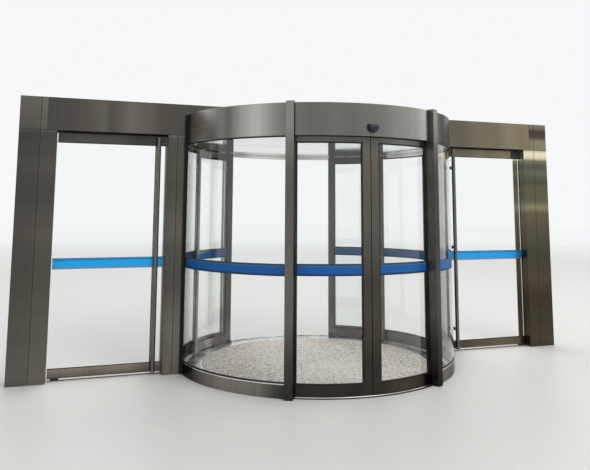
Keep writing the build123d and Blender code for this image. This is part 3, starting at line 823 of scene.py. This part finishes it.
class CURVED_DOOR_OT_facade(Operator):
    """Finish the columns, wall posts, headers and the beam over the drum"""

    bl_idname = "curved_door.facade"
    bl_label = "Facade"

    def execute(self, context):
        for side, _ in SIDES:
            finish_nodes(f"{side}_column_steel", f"{side}_end_column", f"{side}_wall_post")
            finish_nodes("header_steel", f"{side}_header")
        finish_nodes("header_steel", "drum_beam")
        finish_nodes("black_rubber", "drum_closers")
        make_seals()
        make_soffits()
        make_corner_strips()
        return {"FINISHED"}


def make_lip_trim(clearance):
    """Polished strip on the inside of the bands, below the ceiling."""
    gap, thickness, edge = 0.0003, 0.0012, 0.001
    strip = rounded_rectangle(BANDS["inner"] - gap - thickness, BANDS["inner"] - gap,
                              BANDS["bottom"] + edge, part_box("ceiling")[0].z - gap)
    make_piece("canopy_lip_trim", turned_shells([strip], between_posts(clearance)), "fixed_frame",
               "lip_steel")


class CURVED_DOOR_OT_canopy(Operator):
    """Make the curved bands and finish the posts, ceiling, track and cover"""

    bl_idname = "curved_door.canopy"
    bl_label = "Canopy"

    def execute(self, context):
        outline = limits_outline(BANDS, sizes().edge_radius)
        clearance = joint_degrees(BANDS["inner"])
        for name, half_arc, middles in (("passage_bands", POST_BEARING, (0, 180)),
                                        ("side_bands", 90 - POST_BEARING, (90, 270))):
            shells = turned_shells([outline], about(middles, half_arc - clearance))
            make_piece(f"{name}_sheet", shells, "fixed_frame", "band_steel",
                       [name])
        make_lip_trim(clearance)
        finish_nodes("post_steel", "inner_posts", "outer_posts")
        finish_nodes("ceiling_mirror", "ceiling")
        finish_nodes("mill_aluminium", "track_ring")
        finish_nodes("cover_sheet", "top_cover")
        return {"FINISHED"}


def sill_shells(middle, reach):
    """Sill body with a rebate at its upper edge, and the bright bead that fills the rebate, which is
    also a painted highlight along the sill's top edge.
    """
    bead_height, bead_depth, joint = 0.009, 0.0047, 0.0004
    top, outer = SILL["top"], SILL["outer"]
    body = rounded_rectangle(SILL["inner"], outer, SILL["bottom"], top, sizes().edge_radius)
    step, ledge = outer - bead_depth, top - bead_height
    rebate = [(outer, ledge), (step, ledge), (step, top)]
    outline = np.array([*body[:4], *rebate, *body[8:]])
    bead = rounded_rectangle(outer - bead_depth + joint, outer, top - bead_height + joint, top, 0.0015)
    return [turned_shell(section, middle - reach, middle + reach) for section in (outline, bead)]


def make_rubber(reach):
    """Rubber channels at the foot and head of the screens, and the upright joints between them."""
    wall, height, lip = 0.004, 0.012, 0.0012
    inner = SCREENS["inner"] - 0.0003
    outer = SCREENS["outer"] + 0.0003
    shells = []
    for middle in (-90, 90):
        for base, glass_edge, lips in ((SILL["top"], SCREENS["bottom"], SILL["top"] + height),
                                       (BANDS["bottom"], SCREENS["top"], BANDS["bottom"] - height)):
            low, high = sorted((base, lips))
            for left, right in ((inner - wall, inner), (outer, outer + wall)):
                outline = rounded_rectangle(left, right, low, high, lip)
                shells.append(turned_shell(outline, middle - reach, middle + reach))
            low, high = sorted((base, glass_edge))
            shells.append(turned_shell(rounded_rectangle(inner, outer, low, high),
                                       middle - reach, middle + reach))
        half_joint = math.degrees(0.0027 / SCREENS["inner"])
        upright = rounded_rectangle(SCREENS["inner"] - 0.001, SCREENS["outer"] + 0.001,
                                    SCREENS["bottom"] + height, SCREENS["top"] - height)
        shells.append(turned_shell(upright, middle - half_joint, middle + half_joint))
    make_piece("screen_gaskets", shells, "fixed_frame", "black_rubber",
               ["screen_rubber"])


class CURVED_DOOR_OT_screens(Operator):
    """Make the sills, the curved screens, their rubber and their safety film"""

    bl_idname = "curved_door.screens"
    bl_label = "Curved screens"

    def execute(self, context):
        joint = math.degrees(0.003 / SCREENS["inner"])
        films = film_outlines(SCREENS)
        pane = limits_outline(SCREENS, 0.001, 2)
        for side, hand in SIDES:
            middle = 90 * hand
            reach = SCREENS["end"] - 90
            spans = [(middle - reach, middle - joint), (middle + joint, middle + reach)]
            make_piece(f"{side}_screen_panes", turned_shells([pane], spans), "fixed_frame",
                       "clear_glass", [f"{side}_screens"])
            make_piece(f"{side}_screen_film", turned_shells(films, spans), "fixed_frame",
                       "safety_film")
            sill_reach = SILL["end"] - 90
            body, bead = sill_shells(middle, sill_reach)
            make_piece(f"{side}_sill_sheet", [body], "fixed_frame", "sill_steel",
                       [f"{side}_sill"])
            make_piece(f"{side}_sill_bead", [bead], "fixed_frame", "bright_trim")
        make_rubber(reach)
        return {"FINISHED"}


def frame_shells(start, end):
    """Two stiles from floor line to canopy with two rails between them, a hair's breadth apart."""
    stile_width = sizes().stile_width
    hairline = 0.0003
    pitch = 0.012
    stile = member_outline(stile_width)
    first = bent_plan(divided(stile, pitch), start)
    last = bent_plan(divided(mirrored(stile, 0.0), pitch), end)
    between = math.degrees((stile_width + hairline) / LEAF_RADIUS)
    bottom = member_outline(sizes().bottom_rail, True) + np.array([0, LEAF["bottom"]])
    top = mirrored(member_outline(sizes().top_rail), LEAF["top"])
    return [
        upright_shell(first, LEAF["bottom"], LEAF["top"]),
        upright_shell(last, LEAF["bottom"], LEAF["top"]),
        turned_shell(bottom, start + between, end - between),
        turned_shell(top, start + between, end - between),
    ]


def gasket_shells(start, end):
    """Wedges of rubber on both faces of the glass, along all four edges of the window."""
    setback, corner = 0.003, 0.0015
    cover = sizes().gasket_height
    stile = sizes().stile_width
    low = LEAF["bottom"] + sizes().bottom_rail
    high = LEAF["top"] - sizes().top_rail
    first = start + math.degrees(stile / LEAF_RADIUS)
    last = end - math.degrees(stile / LEAF_RADIUS)
    shells = []
    for inner, outer in ((LEAF["inner"] + setback, LEAF_GLASS["inner"]),
                         (LEAF_GLASS["outer"], LEAF["outer"] - setback)):
        for base in (low, high - cover):
            shells.append(turned_shell(rounded_rectangle(inner, outer, base, base + cover, corner),
                                       first, last))
        for bearing, offset in ((first, 0.0), (last, -cover)):
            plan = bent_plan(rounded_rectangle(inner, outer, offset, offset + cover, corner), bearing)
            shells.append(upright_shell(plan, low + cover, high - cover))
    return shells


def brush_shells(start, end):
    """Two brush strips under the leaf, one along each face, down to just over the floor track."""
    floor_gap, width, setback, bite = 0.0045, 0.004, 0.002, 0.004
    bottom, top = floor_gap, LEAF["bottom"] + bite
    edge = math.degrees(setback / LEAF_RADIUS)
    return [turned_shell(rounded_rectangle(inner, inner + width, bottom, top), start + edge, end - edge)
            for inner in (LEAF["inner"] + setback, LEAF["outer"] - setback - width)]


def shoe_shells(start, end, at_start):
    """Black guide shoe at the foot of the edge that meets the other leaf: a block against the leaf's
    inner face, just over the floor, and the plate that holds it."""
    gap, setback, corner = 0.0002, 0.001, 0.002
    face = LEAF["inner"] - gap
    shells = []
    for depth, length, bottom, top in ((0.024, 0.040, 0.0045, 0.028), (0.004, 0.055, 0.0285, 0.046)):
        offset = setback if at_start else -setback - length
        outline = rounded_rectangle(face - depth, face, offset, offset + length, min(corner, depth / 3))
        shells.append(upright_shell(bent_plan(outline, start if at_start else end), bottom, top))
    return shells


def nose_shell(start, end, at_start):
    """Rubber nose on the edge that meets the other leaf."""
    half_width, proud, corner = 0.010, 0.0024, 0.0011
    offset = -proud if at_start else 0.0
    outline = rounded_rectangle(LEAF_RADIUS - half_width, LEAF_RADIUS + half_width, offset,
                                offset + proud, corner)
    return upright_shell(bent_plan(outline, start if at_start else end), LEAF["bottom"], LEAF["top"])


class CURVED_DOOR_OT_leaves(Operator):
    """Make the four curved leaves: frames, panes, gaskets, noses and safety film"""

    bl_idname = "curved_door.leaves"
    bl_label = "Curved leaves"

    def execute(self, context):
        for leaf in LEAVES:
            self.make_leaf(leaf)
        return {"FINISHED"}

    def make_leaf(self, leaf):
        body = f"{leaf}_leaf"
        limits = turned_limits(f"{leaf}_frame")
        glass = turned_limits(f"{leaf}_glass")
        start, end = limits["start"], limits["end"]
        steel = "outer_leaf_steel" if leaf.startswith("outer") else "leaf_steel"
        make_piece(f"{leaf}_leaf_frame", frame_shells(start, end), body,
                   steel, [f"{leaf}_frame"])
        pane = limits_outline(glass, 0.001, 2)
        make_piece(f"{leaf}_leaf_pane", [turned_shell(pane, glass["start"], glass["end"])], body,
                   "clear_glass", [f"{leaf}_glass"])
        meets_at_start = leaf in ("inner_right", "outer_left")
        make_piece(f"{leaf}_leaf_gaskets",
                   [*gasket_shells(start, end), nose_shell(start, end, meets_at_start),
                    *brush_shells(start, end)], body, "black_rubber")
        stile = math.degrees(sizes().stile_width / LEAF_RADIUS)
        film = turned_shells(film_outlines(glass), [(start + stile, end - stile)])
        make_piece(f"{leaf}_leaf_film", film, body, "safety_film")
        make_piece(f"{leaf}_leaf_shoe", shoe_shells(start, end, meets_at_start), body,
                   "black_paint")
        finish_nodes("mill_aluminium", f"{leaf}_carriages")


# Height of a swing door's rail, and how far the glass stands in it
RAIL_HEIGHT, RAIL_BITE = 0.088, 0.02


def make_rails(side, hand, body):
    """Rails with rounded edges, with the glass between two black gaskets at each rail."""
    pivot_length, pin_radius, pin_inset = 0.107, 0.010, 0.055
    gasket_cover, gasket_width = 0.004, 0.006
    low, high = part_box(f"{side}_door_rails")
    glass_low, glass_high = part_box(f"{side}_door_glass")
    bottom = glass_low.z + RAIL_BITE - RAIL_HEIGHT
    top = glass_high.z - RAIL_BITE + RAIL_HEIGHT
    half = high.y
    pane = glass_high.y
    heel, lock = (low.x, high.x) if hand < 0 else (high.x, low.x)
    top_end = heel - hand * pivot_length
    shells = []
    gaskets = []
    for base, edge, ends in ((bottom, bottom + RAIL_HEIGHT, (low.x, high.x)),
                             (top - RAIL_HEIGHT, top - RAIL_HEIGHT, sorted((lock, top_end)))):
        outline = rounded_rectangle(-half, half, base, base + RAIL_HEIGHT, sizes().edge_radius)
        shells.append(level_bar_shell(outline, *ends))
        near, far = sorted((edge, edge + (gasket_cover if edge > base else -gasket_cover)))
        for left in (pane, -pane - gasket_width):
            gaskets.append(level_bar_shell(
                rounded_rectangle(left, left + gasket_width, near, far, 0.001), low.x, high.x))
    pin = (heel - hand * pin_inset, 0, low.z)
    shells.append(lathed_shell(pin, (0, 0, 1), [(0, pin_radius), (bottom - low.z, pin_radius)]))
    make_piece(f"{side}_door_rail_covers", shells, body, f"{side}_rail_steel",
               [f"{side}_door_rails"])
    make_piece(f"{side}_door_gaskets", gaskets, body, "black_rubber")


def make_foot(side, hand, body):
    """Bright strips along the foot of the rail, the black cover of the floor pivot between them, and the
    seal under the rail, as wide as the rail, whose dark face is also a painted shadow under the door."""
    strip_height, strip_drop, strip_thickness = 0.014, 0.001, 0.001
    heel_strip, cover_end = 0.026, 0.1
    cover_foot, seal_foot, seal_start, bite = 0.0045, 0.0045, 0.11, 0.004
    joint = 0.001
    low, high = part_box(f"{side}_door_rails")
    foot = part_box(f"{side}_door_glass")[0].z + RAIL_BITE - RAIL_HEIGHT
    half = high.y
    heel = (low, high)[hand > 0].x

    def from_heel(start, end):
        """The places along X at two distances from the heel, in rising order."""
        return sorted((heel - hand * start, heel - hand * end))

    width = high.x - low.x
    strips = []
    for face in (-half - strip_thickness, half):
        outline = rounded_rectangle(face, face + strip_thickness, foot - strip_drop,
                                    foot - strip_drop + strip_height, 0.0003)
        for reach in ((0, heel_strip), (cover_end, width)):
            strips.append(level_bar_shell(outline, *from_heel(*reach)))
    reach = half + strip_thickness
    cover = rounded_rectangle(-reach, reach, cover_foot, foot + strip_height, 0.001)
    seal = rounded_rectangle(-half + joint / 2, half - joint / 2, seal_foot, foot + bite, 0.001)
    make_piece(f"{side}_door_foot_strips", strips, body, "bright_trim")
    make_piece(f"{side}_door_pivot_cover",
               [level_bar_shell(cover, *from_heel(heel_strip + joint, cover_end - joint))], body,
               "black_paint")
    make_piece(f"{side}_door_foot_seal", [level_bar_shell(seal, *from_heel(seal_start, width))], body,
               "black_rubber")


def make_film(side, body):
    """Safety film on the room face of the glass."""
    low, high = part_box(f"{side}_door_glass")
    outline = film_outline(-low.y)[::-1] * (-1, 1)
    make_piece(f"{side}_door_film", [level_bar_shell(outline, low.x, high.x)], body,
               "bright_film")


def make_pulls(side, hand, body):
    """Pull tubes with rounded ends, on studs with a rosette against the glass."""
    low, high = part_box(f"{side}_door_handles")
    radius = (high.x - low.x) / 2
    centre_x = (low.x + high.x) / 2
    offset = high.y - radius
    glass_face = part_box(f"{side}_door_glass")[1].y
    rounding = 0.004
    stud_radius, stud_inset, tube_inset = 0.010, 0.130, 0.014
    rosette, rosette_depth = sizes().rosette_radius, 0.004
    rail_bottom = low.z - tube_inset + RAIL_HEIGHT
    rail_top = high.z + tube_inset - RAIL_HEIGHT
    quarter = np.radians(np.linspace(0, 90, 5))
    foot = [(rounding - rounding * math.cos(a), radius - rounding + rounding * math.sin(a))
            for a in quarter]
    length = high.z - low.z
    stations = foot + [(length - distance, ring) for distance, ring in reversed(foot)]
    shells = []
    for face in (-1, 1):
        shells.append(lathed_shell((centre_x, face * offset, low.z), (0, 0, 1), stations, 48))
        for height in (rail_bottom + stud_inset, (rail_bottom + rail_top) / 2, rail_top - stud_inset):
            base = (centre_x, face * glass_face, height)
            shells.append(lathed_shell(
                base, (0, face, 0),
                [(0, rosette), (rosette_depth * 0.6, rosette), (rosette_depth, rosette * 0.9),
                 (rosette_depth, stud_radius), (offset - glass_face, stud_radius)], 32))
    make_piece(f"{side}_door_pulls", shells, body, "tube_steel",
               [f"{side}_door_handles"])


class CURVED_DOOR_OT_swing_doors(Operator):
    """Make the rails, gaskets, foot strips, film and pull tubes of the swing doors"""

    bl_idname = "curved_door.swing_doors"
    bl_label = "Swing doors"

    def execute(self, context):
        for side, hand in SIDES:
            body = f"{side}_door"
            make_rails(side, hand, body)
            make_foot(side, hand, body)
            make_film(side, body)
            make_pulls(side, hand, body)
            finish_nodes("clear_glass", f"{side}_door_glass")
            finish_nodes("left_rail_steel" if hand < 0 else "black_paint", f"{side}_door_pivot")
        return {"FINISHED"}


def make_threshold_lips():
    """Bright raised lip on the floor along each passage, in front of the leaves' outer face, and a
    black rubber edge in front of it, which is also a painted shadow line along the lip's foot."""
    joint, width, height, corner = 0.0015, 0.010, 0.0115, 0.003
    hairline, rubber_width, rubber_height = 0.0002, 0.016, 0.003
    inner = LEAF["outer"] + joint
    rubber = inner + width + hairline
    reach = POST_BEARING - joint_degrees(inner)
    for name, outline, slot, finish in (
            ("threshold_lips", rounded_rectangle(inner, inner + width, 0.0, height, corner),
             "floor_steel", "bright_trim"),
            ("threshold_edges",
             rounded_rectangle(rubber, rubber + rubber_width, 0.0, rubber_height, 0.001),
             "black_rubber", "black_rubber")):
        make_piece(name, turned_shells([outline], about((0, 180), reach)), "fixed_frame",
                   finish)


def make_floor_ring():
    """Steel floor ring between the mat and the leaves, in four parts that meet at the posts, and
    the bright raised edge that holds the mat."""
    joint, hairline = 0.0015, 0.02
    edge_width, edge_height, plate_height = 0.011, 0.0075, 0.003
    inner = MAT["outer"] + joint
    edge = rounded_rectangle(inner, inner + edge_width, 0.0, edge_height, 0.0015)
    plate = rounded_rectangle(inner + edge_width + 0.0003, LEAF["inner"] - 0.003, 0.0, plate_height,
                              0.0006)
    for name, outline, finish in (("mat_edge", edge, "bright_trim"),
                                  ("floor_ring_plate", plate, "floor_ring_steel")):
        make_piece(name, turned_shells([outline], between_posts(hairline)), "fixed_frame",
                   finish)


def mat_shell():
    """Round mat: rings and spokes of points at its top height, less a random pile depth, and a
    rounded edge down to the floor. The random numbers come from one fixed seed."""
    pile_depth, edge_drop = 0.0012, 0.003
    rings, spokes = sizes().mat_rings, sizes().mat_spokes
    radius = MAT["outer"] * np.linspace(0, 1, rings + 1)[1:]
    angle = np.linspace(0, 2 * np.pi, spokes, endpoint=False)
    height = MAT["top"] - pile_depth * np.random.default_rng(7).random((rings, spokes))
    height[-1] = MAT["top"] - edge_drop
    top = np.stack([radius[:, None] * np.cos(angle), radius[:, None] * np.sin(angle), height], axis=2)
    foot = np.column_stack([MAT["outer"] * np.cos(angle), MAT["outer"] * np.sin(angle),
                            np.full(spokes, MAT["bottom"])])
    points = np.vstack([top.reshape(-1, 3), foot, [(0, 0, MAT["top"])], [(0, 0, MAT["bottom"])]])
    here = np.arange(spokes)
    there = (here + 1) % spokes
    quads = strip_faces(rings + 1, spokes, True)[:-2]
    middle_top, middle_foot = len(points) - 2, len(points) - 1
    cap = np.column_stack([np.full(spokes, middle_top), here, there])
    base = np.column_stack([np.full(spokes, middle_foot), rings * spokes + there, rings * spokes + here])
    return points, quads + cap.tolist() + base.tolist()


class CURVED_DOOR_OT_floor_pieces(Operator):
    """Make the mat's pile and finish the tracks, guides and plates"""

    bl_idname = "curved_door.floor_pieces"
    bl_label = "Floor pieces"

    def execute(self, context):
        make_piece("mat_with_pile", [mat_shell()], "fixed_frame",
                   "mat_pile", ["entrance_mat"], crease=80.0)
        make_floor_ring()
        make_threshold_lips()
        finish_nodes("floor_steel", "floor_tracks", "floor_plates")
        finish_nodes("black_paint", "floor_guides")
        return {"FINISHED"}


def housing_shell(turn):
    """Half round housing: its outline, flat on top and half round below, shrinks towards the front
    as the square root of one minus the square of the depth's share, with a seam behind the cover.
    Its back follows the band: minus the root of band radius squared less x squared."""
    low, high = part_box("motion_sensors")
    half_width, corner = high.x, 0.006
    centre_z = low.z + half_width
    arc = np.radians(np.linspace(180, 360, 41))
    lower = np.column_stack([half_width * np.cos(arc), centre_z + half_width * np.sin(arc)])
    upper = rounded_rectangle(-half_width, half_width, low.z, high.z, corner, 5)[6:18]
    outline = np.vstack([lower, upper])
    depth = np.array([0, 0.14, 0.15, 0.18, 0.19, 0.40, 0.60, 0.76, 0.88, 0.96, 1.0])
    scale = np.array([1, 1, 0.975, 0.975, 1, 0.985, 0.955, 0.90, 0.81, 0.66, 0.45])
    middle = np.array([0.0, (low.z + high.z) / 2])
    section = middle + scale[:, None, None] * (outline - middle)[None, :, :]
    back = -np.sqrt(BANDS["outer"] ** 2 - section[..., 0] ** 2) - 0.0003
    front = low.y
    y = back * (1 - depth[:, None]) + front * depth[:, None]
    points = np.stack([section[..., 0], y, section[..., 1]], axis=2).reshape(-1, 3)
    points = points * np.array([math.cos(turn), math.cos(turn), 1.0])
    return points, strip_faces(len(depth), len(outline))


class CURVED_DOOR_OT_sensors(Operator):
    """Make the moulded motion sensors over both passages"""

    bl_idname = "curved_door.sensors"
    bl_label = "Motion sensors"

    def execute(self, context):
        make_piece("sensor_housings", [housing_shell(turn) for turn in (0, math.pi)], "fixed_frame",
                   "black_gloss", ["motion_sensors"], crease=40.0)
        return {"FINISHED"}


def make_floor():
    """Large round pale floor that fades into the background far away."""
    radius, around = 60.0, 128
    angle = np.linspace(0, 2 * np.pi, around, endpoint=False)
    points = np.column_stack([radius * np.cos(angle), radius * np.sin(angle), np.zeros(around)])
    mesh = bpy.data.meshes.new("floor")
    mesh.from_pydata(points.tolist(), [], [list(range(around))])
    floor = bpy.data.objects.new("floor", mesh)
    bpy.context.scene.collection.objects.link(floor)
    finish = Finish(bpy.data.materials.new("pale_floor"))
    finish.set(base_color=(0.80, 0.785, 0.76, 1.0), roughness=0.45)
    place = finish.node("TexCoord", "Object", {})
    distance = finish.node("VectorMath", "Value", {0: place}, operation="LENGTH")
    finish.mixed(finish.remap(distance, 0.0, 1.0, 9.0, 26.0),
                 finish.node("Emission", "Emission", {"Color": (0.90, 0.91, 0.92, 1.0)}))
    mesh.materials.append(finish.owner)


def make_world(scene):
    """Pale background for the camera, for gloss and through glass, and even light for the rest."""
    scene.world = bpy.data.worlds.new("studio")
    world = Finish(scene.world, "Background")
    seen = world.node("LightPath", "Is Camera Ray", {})
    for ray in ("Is Glossy Ray", "Is Transmission Ray"):
        other = world.node("LightPath", ray, {})
        seen = world.node("Math", "Value", {0: seen, 1: other}, operation="MAXIMUM")
    world.set(color=(0.93, 0.94, 0.95, 1.0),
              strength=world.remap(seen, studio().ambient, 1.0, 0.0, 1.0))


def make_lamps():
    """Three large soft lamps: over the room side, over the street side and one low at the left."""
    power = studio().lamp_power
    target = Vector((0, 0, 1.2))
    for name, place, size, share in (("room_lamp", (3.5, -9.0, 10.0), 7.0, 1.0),
                                     ("street_lamp", (2.5, 8.0, 12.0), 8.0, 0.8),
                                     ("side_lamp", (12.0, -2.0, 6.0), 5.0, 0.35)):
        light = bpy.data.lights.new(name, "AREA")
        light.energy = power * share
        light.size = size
        lamp = bpy.data.objects.new(name, light)
        lamp.location = place
        lamp.rotation_euler = (target - Vector(place)).to_track_quat("-Z", "Y").to_euler()
        bpy.context.scene.collection.objects.link(lamp)


def make_camera(scene):
    """Camera from its place, yaw, pitch and roll, with the focal length and shift in shares of the
    picture's width."""
    sensor = 36.0
    width, height = PICTURE_SIZE
    camera = bpy.data.cameras.new("camera")
    camera.sensor_width = sensor
    camera.sensor_fit = "HORIZONTAL"
    camera.lens = sensor * studio().focal_pixels / width
    camera.shift_y = (studio().axis_row - height / 2) / width
    camera.clip_end = 200.0
    yaw, pitch, roll = studio().camera_yaw, studio().camera_pitch, studio().camera_roll
    forward = Vector((math.sin(yaw) * math.cos(pitch), math.cos(yaw) * math.cos(pitch), math.sin(pitch)))
    right = Vector((math.cos(yaw), -math.sin(yaw), 0.0))
    up = right.cross(forward)
    right, up = (right * math.cos(roll) + up * math.sin(roll),
                 up * math.cos(roll) - right * math.sin(roll))
    turn = Matrix((right, up, -forward)).transposed().to_4x4()
    holder = bpy.data.objects.new("camera", camera)
    holder.matrix_world = Matrix.Translation(studio().camera_place) @ turn
    scene.collection.objects.link(holder)
    scene.camera = holder


class CURVED_DOOR_OT_stage(Operator):
    """Make the plain floor, the lights and the camera"""

    bl_idname = "curved_door.stage"
    bl_label = "Stage"

    def execute(self, context):
        make_floor()
        make_world(context.scene)
        make_lamps()
        make_camera(context.scene)
        context.scene.view_settings.view_transform = "Standard"
        return {"FINISHED"}


class CURVED_DOOR_PT_panel(Panel):
    """Lists the groups of pieces and their values"""

    bl_idname = "CURVED_DOOR_PT_panel"
    bl_label = "Curved automatic door"
    bl_space_type = "VIEW_3D"
    bl_region_type = "UI"
    bl_category = "Curved door"

    def draw(self, context):
        for operator in OPERATORS:
            self.layout.operator(operator.bl_idname)
        for values in (sizes(), finishes(), studio()):
            box = self.layout.box()
            for key in values.__annotations__:
                box.prop(values, key)


OPERATORS = (
    CURVED_DOOR_OT_stage, CURVED_DOOR_OT_facade, CURVED_DOOR_OT_canopy, CURVED_DOOR_OT_screens,
    CURVED_DOOR_OT_leaves, CURVED_DOOR_OT_swing_doors, CURVED_DOOR_OT_floor_pieces,
    CURVED_DOOR_OT_sensors,
)
CLASSES = (DoorSizes, DoorFinishes, StudioSettings, *OPERATORS, CURVED_DOOR_PT_panel)


def register():
    for kind in CLASSES:
        bpy.utils.register_class(kind)
    bpy.types.Scene.curved_door_sizes = PointerProperty(type=DoorSizes)
    bpy.types.Scene.curved_door_finishes = PointerProperty(type=DoorFinishes)
    bpy.types.Scene.curved_door_studio = PointerProperty(type=StudioSettings)


def unregister():
    for key in ("curved_door_sizes", "curved_door_finishes", "curved_door_studio"):
        delattr(bpy.types.Scene, key)
    for kind in reversed(CLASSES):
        bpy.utils.unregister_class(kind)


def main():
    """Registers the classes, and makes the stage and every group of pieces."""
    register()
    bpy.ops.curved_door.stage()
    bpy.ops.curved_door.facade()
    bpy.ops.curved_door.canopy()
    bpy.ops.curved_door.screens()
    bpy.ops.curved_door.leaves()
    bpy.ops.curved_door.swing_doors()
    bpy.ops.curved_door.floor_pieces()
    bpy.ops.curved_door.sensors()


if __name__ == "__main__":
    main()
